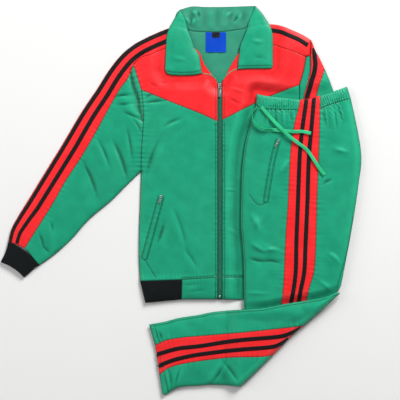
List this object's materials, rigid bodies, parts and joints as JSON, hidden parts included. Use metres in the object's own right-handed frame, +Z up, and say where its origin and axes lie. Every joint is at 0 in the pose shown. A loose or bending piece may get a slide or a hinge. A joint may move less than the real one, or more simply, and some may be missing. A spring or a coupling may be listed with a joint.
{
  "type": "tracksuit",
  "caption": "Zip tracksuit laid flat: green and red jacket with black tapes and ribs, and matching trousers folded on it.",
  "frame": {"origin": "on the floor, in the middle of the laid-out set's bounding box", "axes": "+Z up off the floor, +Y towards the collar, +X to the right as seen from above"},
  "size_m": [0.9556, 1.0314, 0.0288],
  "materials": {
    "green_tricot": "shiny warp knit",
    "red_tricot": "shiny warp knit",
    "black_tape": "woven tape",
    "black_rib": "ribbed knit",
    "zip_tape": "woven tape",
    "zip_coil": "moulded coil",
    "zip_metal": "plated and polished",
    "label_satin": "satin ribbon",
    "size_tab": "woven tab",
    "drawstring": "flat woven cord"
  },
  "bodies": {
    "suit": {"collar_back": "green_tricot", "collar_leaf_left": "green_tricot", "collar_leaf_right": "green_tricot", "cuff_left": "black_rib", "cuff_right": "black_rib", "drawstring_long": "drawstring", "drawstring_short": "drawstring", "front_left": "green_tricot", "front_right": "green_tricot", "hem_band_back": "green_tricot", "hem_band_left": "green_tricot", "hem_band_right": "green_tricot", "hem_rib_left": "black_rib", "hem_rib_right": "black_rib", "jacket_back": "green_tricot", "lower_leg_green_low": "green_tricot", "lower_leg_green_top": "green_tricot", "lower_leg_layers": "green_tricot", "lower_leg_side_panel": "red_tricot", "lower_leg_tape_low": "black_tape", "lower_leg_tape_top": "black_tape", "neck_label": "label_satin", "pocket_slider_jacket": "zip_metal", "pocket_slider_trousers": "zip_metal", "pocket_welt_jacket": "green_tricot", "pocket_welt_trousers": "green_tricot", "shoulder_right_panel": "red_tricot", "shoulder_right_tape": "black_tape", "size_tab": "size_tab", "sleeve_left_back": "green_tricot", "sleeve_left_front": "green_tricot", "sleeve_left_panel": "red_tricot", "sleeve_left_tape_inner": "black_tape", "sleeve_left_tape_outer": "black_tape", "sleeve_right_back": "green_tricot", "sleeve_right_cap": "green_tricot", "sleeve_right_front": "green_tricot", "sleeve_right_panel": "red_tricot", "sleeve_right_tape": "black_tape", "trousers_back": "green_tricot", "trousers_front": "green_tricot", "trousers_layers": "green_tricot", "trousers_side_panel": "red_tricot", "trousers_tape_back": "black_tape", "trousers_tape_front": "black_tape", "waistband_back": "green_tricot", "waistband_front": "green_tricot", "yoke_left": "red_tricot", "yoke_right": "red_tricot", "zip_coil": "zip_coil", "zip_slider": "zip_metal", "zip_tape": "zip_tape"},
    "front_tab": {"zip_pull": "zip_metal"},
    "jacket_pocket_tab": {"pocket_pull_jacket": "zip_metal"},
    "trousers_pocket_tab": {"pocket_pull_trousers": "zip_metal"}
  },
  "joints": [
    {"name": "front_tab_hinge", "type": "hinge", "parent": "suit", "child": "front_tab", "pos_m": [0.1035, 0.298, 0.01085], "axis": [-1, 0, 0], "range_deg": [0, 160]},
    {"name": "jacket_pocket_tab_hinge", "type": "hinge", "parent": "suit", "child": "jacket_pocket_tab", "pos_m": [-0.05278, 0.0071, 0.01663], "axis": [-0.9653, 0.2612, 0], "range_deg": [0, 160]},
    {"name": "trousers_pocket_tab_hinge", "type": "hinge", "parent": "suit", "child": "trousers_pocket_tab", "pos_m": [0.25666, 0.15532, 0.02321], "axis": [-0.8944, 0.4472, 0], "range_deg": [0, 160]}
  ]
}
